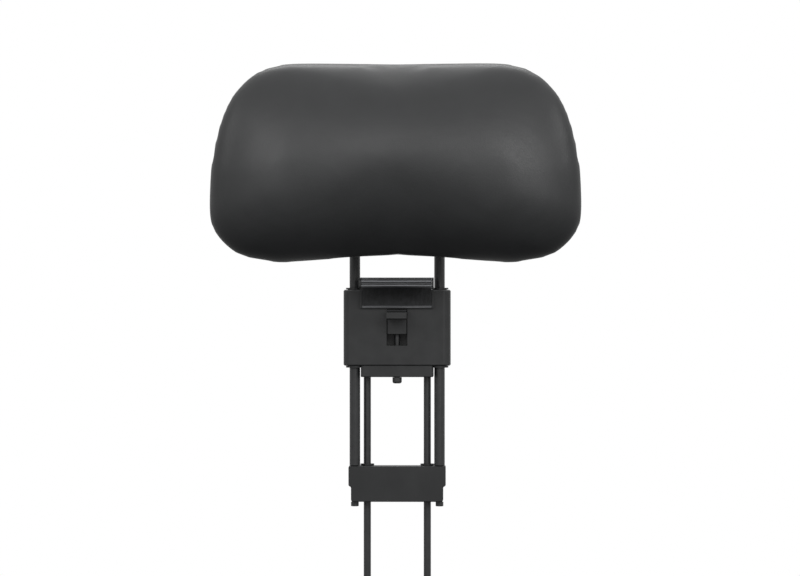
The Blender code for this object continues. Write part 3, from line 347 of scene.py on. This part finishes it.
# ---------------------------------------------------------------- pad
MERGE_DISTANCE = 0.01 * MM
VOXEL = 3.5 * MM
RELAX_STEPS = 44  # enough to melt the foam's facets, which are up to 25 mm long, into one another
HELD_LEAN = 0.7  # faces that look back by more than this are held down by the back shell
CLOTH_PRESSURE = 4.0
CLOTH_FRAMES = 20
SWELL_CAP = 4 * MM  # how far the leather may lift off the foam
HOLLOW_REACH = 45 * MM  # the smoothing of the hollow between the lobes fades away over about this far
HOLLOW_STEPS = 60
FRONT_LEAN = 0.55  # only faces that look forward by more than this are smoothed,
FRONT_LEAN_RAMP = 0.3  # and in full from this much further on
CRADLE = 16 * MM  # how far the pad's two ends come forward of its middle
CRADLE_FLAT = 80 * MM  # width of its straight middle
SEAM_RISE = 5 * MM  # the seam runs this far ahead of the pad's rear edge
SEAM_DEPTH = 1.4 * MM
SEAM_HALF_WIDTH = 2.2 * MM
STITCH_PITCH = 5 * MM
STITCH_LENGTH = 3.6 * MM
STITCH_THICKNESS = 0.8 * MM
STITCH_OFFSET = 2.8 * MM  # from the seam to the row of stitches on each side of it
STITCH_LIFT = 0.1  # how far a stitch's middle stands off the leather, as a share of its thickness
RING_STEPS = 1800  # points round the pad, about half a millimetre apart
RING_START = 0.3  # the rays towards the pad start this far out, in metres
RING_SETTLE = 3  # tries at a point: the seam's place depends on where the ray before it landed


def foam_form():
    """The foam as one closed, evenly meshed form with its facets melted together."""
    bm = bmesh.new()
    bm.from_mesh(nodes["pad_foam"].data)
    bmesh.ops.remove_doubles(bm, verts=bm.verts, dist=MERGE_DISTANCE)
    pad = new_piece("leather_pad", bm, FINISHES["soft_leather"])
    add_modifier(pad, "REMESH", mode="VOXEL", voxel_size=VOXEL)
    add_modifier(pad, "SMOOTH", factor=0.5, iterations=RELAX_STEPS)
    apply_modifiers(pad)
    return pad


def swell(pad):
    """Blows the leather up off the foam as cloth, held down where the back shell covers it."""
    before = [vert.co.copy() for vert in pad.data.vertices]
    held = pad.vertex_groups.new(name="held_at_back")
    held.add([v.index for v in pad.data.vertices if v.normal.y > HELD_LEAN], 1.0, "REPLACE")
    cloth = pad.modifiers.new("leather", "CLOTH")
    cloth.settings.use_pressure = True
    cloth.settings.uniform_pressure_force = CLOTH_PRESSURE
    cloth.settings.effector_weights.gravity = 0
    cloth.settings.quality = 6
    cloth.settings.mass = 0.5
    cloth.settings.tension_stiffness = 20
    cloth.settings.bending_stiffness = 3
    cloth.settings.vertex_group_mass = "held_at_back"
    cloth.collision_settings.use_collision = False
    cloth.point_cache.frame_end = CLOTH_FRAMES
    for number in range(1, CLOTH_FRAMES + 1):
        bpy.context.scene.frame_set(number)
    apply_modifiers(pad)
    pad.vertex_groups.clear()
    for vert, start in zip(pad.data.vertices, before):
        move = vert.co - start
        if move.length > SWELL_CAP:
            vert.co = start + move * (SWELL_CAP / move.length)
    bpy.context.scene.frame_set(1)


def fit_to_cover(pad):
    """Brings the swollen form out to the size of the CAD cover, about its middle."""
    corners = [Vector(corner) for corner in pad.bound_box]
    own_low = Vector([min(corner[i] for corner in corners) for i in range(3)])
    own_high = Vector([max(corner[i] for corner in corners) for i in range(3)])
    shares = [(cover_high[i] - cover_low[i]) / (own_high[i] - own_low[i]) for i in range(3)]
    grow = Matrix.Diagonal(shares).to_4x4()
    move_in = Matrix.Translation((cover_low + cover_high) / 2)
    move_out = Matrix.Translation(-(own_low + own_high) / 2)
    pad.data.transform(move_in @ grow @ move_out)


def ease_middle(pad):
    """Smooths the hollow between the two lobes, so it runs from one to the other without a crease."""
    middle = pad.vertex_groups.new(name="hollow")
    for vert in pad.data.vertices:
        facing = min(1.0, max(0.0, (-vert.normal.y - FRONT_LEAN) / FRONT_LEAN_RAMP))
        weight = facing * math.exp(-((vert.co.x / HOLLOW_REACH) ** 2))
        middle.add([vert.index], weight, "REPLACE")
    add_modifier(pad, "SMOOTH", factor=0.8, iterations=HOLLOW_STEPS, vertex_group="hollow")
    apply_modifiers(pad)
    pad.vertex_groups.clear()


def seam_line(x):
    """Where the seam runs, in Y, at a place across the pad: it follows the pad's curve round the head."""
    reach = max(0.0, abs(x) - CRADLE_FLAT / 2) / (cover_high.x - CRADLE_FLAT / 2)
    return cover_high.y - SEAM_RISE - CRADLE * reach**2


def sew_edge(pad):
    """Draws the leather in along the seam, in a soft channel."""
    pull = []
    for vert in pad.data.vertices:
        off = (vert.co.y - seam_line(vert.co.x)) / SEAM_HALF_WIDTH
        pull.append(vert.normal * SEAM_DEPTH * math.exp(-off * off))
    for vert, step in zip(pad.data.vertices, pull):
        vert.co -= step


def round_the_pad(surface, shift):
    """Points and normals round the pad, at this distance behind the seam."""
    middle_z = (cover_low.z + cover_high.z) / 2
    ring = []
    x = cover_high.x
    for step in range(RING_STEPS):
        bearing = math.tau * step / RING_STEPS
        out = Vector((math.cos(bearing), 0, math.sin(bearing)))
        for _ in range(RING_SETTLE):
            start = Vector((0, seam_line(x) + shift, middle_z)) + out * RING_START
            point, normal, _, _ = surface.ray_cast(start, -out)
            x = point.x
        ring.append((point, normal))
    return ring


def build_stitches(pad):
    """Two rows of short stitches, one on each side of the seam. Each is a long bead with few faces."""
    surface = BVHTree.FromObject(pad, bpy.context.evaluated_depsgraph_get())
    half_length = STITCH_LENGTH / 2
    half_thickness = STITCH_THICKNESS / 2
    bm = bmesh.new()
    for shift in (-STITCH_OFFSET, STITCH_OFFSET):
        ring = round_the_pad(surface, shift)
        walked = 0.0
        for (point, normal), (following, _) in zip(ring, ring[1:] + ring[:1]):
            walked += (following - point).length
            if walked < STITCH_PITCH:
                continue
            walked = 0.0
            along = (following - point).normalized()
            across = normal.cross(along).normalized()
            up = along.cross(across)
            axes = Matrix((along * half_length, across * half_thickness, up * half_thickness)).transposed()
            place = Matrix.Translation(point + up * STITCH_THICKNESS * STITCH_LIFT) @ axes.to_4x4()
            bmesh.ops.create_uvsphere(bm, u_segments=8, v_segments=5, radius=1, matrix=place)
    bmesh.ops.recalc_face_normals(bm, faces=bm.faces)
    stitches = new_piece("seam_stitches", bm, THREAD)
    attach(stitches, "pad")


def build_pad():
    """The leather pad: the foam's form blown up as cloth, eased, brought to the cover's size and sewn."""
    pad = foam_form()
    swell(pad)
    ease_middle(pad)
    fit_to_cover(pad)
    add_modifier(pad, "SUBSURF", levels=1, render_levels=1)
    apply_modifiers(pad)
    sew_edge(pad)
    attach(pad, "pad")
    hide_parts("pad_cover", "pad_foam")
    build_stitches(pad)


# ---------------------------------------------------------------- screws
SOCKET_SHARE = 0.52  # distance across the corners of a hex socket, as a share of the head's width
SOCKET_DEPTH_SHARE = 0.75  # depth of a socket, as a share of the head's height
SOCKET_DEEPEST = 2 * MM
SOCKET_CHAMFER = 0.15 * MM
HEAD_CHAMFER = 0.4 * MM
HEAD_CHAMFER_SHARE = 1 / 3  # the most that a chamfer takes of the head's height
HEAD_LOWEST = 0.6 * MM
END_BAND = 1.2 * MM  # points of a CAD screw that lie this near one of its ends give that end's radius
SHANK_MARGIN = 1.15  # points further from the axis than the shank's radius times this are the head's
THREAD_PITCH = 0.8 * MM
THREAD_DEPTH = 0.45 * MM
CREST_AT = 0.25  # where a thread's crest and root lie along each pitch
ROOT_AT = 0.75
SCREW_SEGMENTS = 24
SCREWS = {
    "bracket": ("cover_screw", "spine_screw"),
    "slider": ("block_cover_screw", "bridge_screw", "post_screw"),
    "pad": ("bracket_screw_upper", "bracket_screw_lower"),
}


def screw_shape(name):
    """A CAD screw's shape: the middle of its head's outer face, the way in, its length, and the radii of its
    head and its shank."""
    low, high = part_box(name)
    size = high - low
    axis = max(range(3), key=lambda i: size[i])
    middle = (low + high) / 2
    reach = {low[axis]: 0.0, high[axis]: 0.0}
    for vert in nodes[name].data.vertices:
        off = vert.co - middle
        off[axis] = 0
        for end in reach:
            if abs(vert.co[axis] - end) < END_BAND:
                reach[end] = max(reach[end], off.length)
    head_end, tip_end = sorted(reach, key=lambda end: -reach[end])
    seat = middle.copy()
    seat[axis] = head_end
    inward = Vector((0, 0, 0))
    inward[axis] = 1 if tip_end > head_end else -1
    return seat, inward, size[axis], reach[head_end], reach[tip_end]


def head_height(name, seat, inward, shank):
    """How far the wide part of a CAD screw goes in from its outer face."""
    deepest = 0.0
    for vert in nodes[name].data.vertices:
        off = vert.co - seat
        depth = off.dot(inward)
        if (off - inward * depth).length > shank * SHANK_MARGIN:
            deepest = max(deepest, depth)
    return deepest


def turned(bm, stations):
    """Lofts rings of (radius, depth, hexagonal) down +Z, and closes both ends."""
    ring = bmesh.ops.create_circle(bm, segments=SCREW_SEGMENTS, radius=1)["verts"]
    bearings = {vert: math.atan2(vert.co.y, vert.co.x) for vert in ring}
    edges = list(bm.edges)
    bmesh.ops.edgeloop_fill(bm, edges=edges)
    for number, (radius, depth, hexagonal) in enumerate(stations):
        if number:
            grown = bmesh.ops.extrude_edge_only(bm, edges=edges)["geom"]
            fresh = [part for part in grown if isinstance(part, bmesh.types.BMVert)]
            edges = [part for part in grown if isinstance(part, bmesh.types.BMEdge)]
            edges = [edge for edge in edges if all(vert in fresh for vert in edge.verts)]
            bearings = {vert: math.atan2(vert.co.y, vert.co.x) for vert in fresh}
        for vert, bearing in bearings.items():
            flat = math.cos(math.pi / 6) / math.cos((bearing % (math.pi / 3)) - math.pi / 6)
            reach = radius * (flat if hexagonal else 1.0)
            vert.co = Vector((math.cos(bearing) * reach, math.sin(bearing) * reach, depth))
    bmesh.ops.edgeloop_fill(bm, edges=edges)
    bmesh.ops.recalc_face_normals(bm, faces=bm.faces)


def build_screw(name, body, material):
    """A socket-head screw in the place of a CAD screw, with a chamfered head and a ridged thread."""
    seat, inward, length, head, shank = screw_shape(name)
    height = max(head_height(name, seat, inward, shank), HEAD_LOWEST)
    root = shank - THREAD_DEPTH
    socket = head * SOCKET_SHARE
    chamfer = min(HEAD_CHAMFER, height * HEAD_CHAMFER_SHARE)
    stations = [
        (socket, min(height * SOCKET_DEPTH_SHARE, SOCKET_DEEPEST), True),
        (socket, SOCKET_CHAMFER, True),
        (socket + SOCKET_CHAMFER, 0.0, True),
        (head - chamfer, 0.0, False),
        (head, chamfer, False),
        (head, height, False),
    ]
    depth = height
    while depth + THREAD_PITCH < length:
        stations.append((shank, depth + THREAD_PITCH * CREST_AT, False))
        stations.append((root, depth + THREAD_PITCH * ROOT_AT, False))
        depth += THREAD_PITCH
    stations.append((root, length, False))
    bm = bmesh.new()
    turned(bm, stations)
    aim = inward.to_track_quat("Z", "X").to_matrix().to_4x4()
    bmesh.ops.transform(bm, matrix=Matrix.Translation(seat) @ aim, verts=bm.verts)
    screw = new_piece(f"socket_{name}", bm, material, crease_angle=35)
    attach(screw, body)
    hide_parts(name)


def build_screws():
    """A socket-head screw for each CAD screw named in SCREWS, on the body that carries it."""
    for body, families in SCREWS.items():
        for family in families:
            for side in ("left", "right"):
                name = f"{family}_{side}"
                build_screw(name, body, nodes[name].data.materials[0])


# ---------------------------------------------------------------- studio
SKY_LOW = 0.06  # light from straight below
SKY_HIGH = 1.06  # and from straight above
FLOOR_HALF = 1.2
FLOOR_GAP = 1 * MM
LIGHT_DISTANCE = 2.2
LIGHT_TARGET = Vector((0, 0, 0.1))  # near the pad's middle
CAMERA_DISTANCE = 3.0
CAMERA_BEARING = 1.0  # degrees to the right of straight ahead
CAMERA_TARGET = Vector((3 * MM, 0, -4.4 * MM))
SENSOR_WIDTH = 36
FRAME_WIDTH = 0.712  # width of the view at the target


def painted_floor():
    """Matt white studio paint, with the faint stipple of a roller."""
    material, tree, shader = start_material("matt_white_paint", "f2f2f0", 0.8)
    stipple = noise(tree, place_on(tree), 3, 3.0)
    feed(tree, shader, two_tones(tree, stipple, "f1f1ef", "f4f4f3"), normal=raised(tree, stipple, 0.1, 0.2))
    return material


def studio():
    """White all round for the camera, and a soft light that is brighter overhead than below."""
    scene = bpy.context.scene
    scene.view_settings.view_transform = "Standard"
    world = bpy.data.worlds.new("studio")
    scene.world = world
    world.use_nodes = True
    tree = world.node_tree
    seen = tree.nodes["Background"]
    seen.inputs["Color"].default_value = srgb("ffffff")
    where = add_node(tree, "ShaderNodeTexCoord")
    height = add_node(tree, "ShaderNodeSeparateXYZ", {"Vector": where.outputs["Generated"]})
    rise = {"Value": height.outputs["Z"], "From Min": -1.0, "To Min": SKY_LOW, "To Max": SKY_HIGH}
    level = add_node(tree, "ShaderNodeMapRange", rise).outputs["Result"]
    lit = add_node(tree, "ShaderNodeBackground", {"Color": srgb("ffffff"), "Strength": level})
    ray = add_node(tree, "ShaderNodeLightPath").outputs["Is Camera Ray"]
    mix = add_node(tree, "ShaderNodeMixShader", {0: ray, 1: lit.outputs[0], 2: seen.outputs[0]})
    tree.links.new(mix.outputs[0], tree.nodes["World Output"].inputs["Surface"])

    bm = bmesh.new()
    bmesh.ops.create_grid(bm, x_segments=1, y_segments=1, size=FLOOR_HALF)
    bmesh.ops.translate(bm, vec=(0, 0, cad_box[0][2] - FLOOR_GAP), verts=bm.verts)
    floor = new_piece("floor", bm, painted_floor())
    floor.visible_diffuse = False  # so it throws no light up under the pad
    floor.visible_glossy = False


def softbox(name, azimuth, elevation, size, watts):
    """A soft light at a bearing seen from the pad, in degrees: azimuth 0 is in front and 90 at +X."""
    turn, rise = math.radians(azimuth), math.radians(elevation)
    out = Vector((math.sin(turn) * math.cos(rise), -math.cos(turn) * math.cos(rise), math.sin(rise)))
    lamp = bpy.data.lights.new(name, "AREA")
    lamp.shape = "RECTANGLE"
    lamp.size, lamp.size_y = size
    lamp.energy = watts
    obj = bpy.data.objects.new(name, lamp)
    obj.location = LIGHT_TARGET + out * LIGHT_DISTANCE
    obj.rotation_euler = out.to_track_quat("Z", "Y").to_euler()
    bpy.context.collection.objects.link(obj)


def camera():
    """A long lens, level and almost square to the pad."""
    lens = bpy.data.cameras.new("camera")
    lens.sensor_width = SENSOR_WIDTH
    lens.lens = SENSOR_WIDTH * CAMERA_DISTANCE / FRAME_WIDTH
    obj = bpy.data.objects.new("camera", lens)
    bearing = math.radians(CAMERA_BEARING)
    obj.location = CAMERA_TARGET + CAMERA_DISTANCE * Vector((math.sin(bearing), -math.cos(bearing), 0))
    obj.rotation_euler = (CAMERA_TARGET - obj.location).to_track_quat("-Z", "Y").to_euler()
    bpy.context.collection.objects.link(obj)
    bpy.context.scene.camera = obj


dress_frame()
build_pad()
build_screws()
studio()
softbox("key_right_of_front", 15, 23, (1.0, 0.4), 7)
softbox("key_left_of_front", -25, 25, (0.8, 0.5), 4.6)
softbox("low_right_of_front", 30, 12, (0.8, 0.4), 5.2)
softbox("low_left_of_front", -25, 14, (0.8, 0.4), 2.8)
softbox("right_side", 65, 25, (0.8, 0.8), 5.4)
softbox("left_side", -65, 25, (0.8, 0.8), 3.4)
softbox("behind", 180, 55, (1.6, 0.6), 12)
camera()
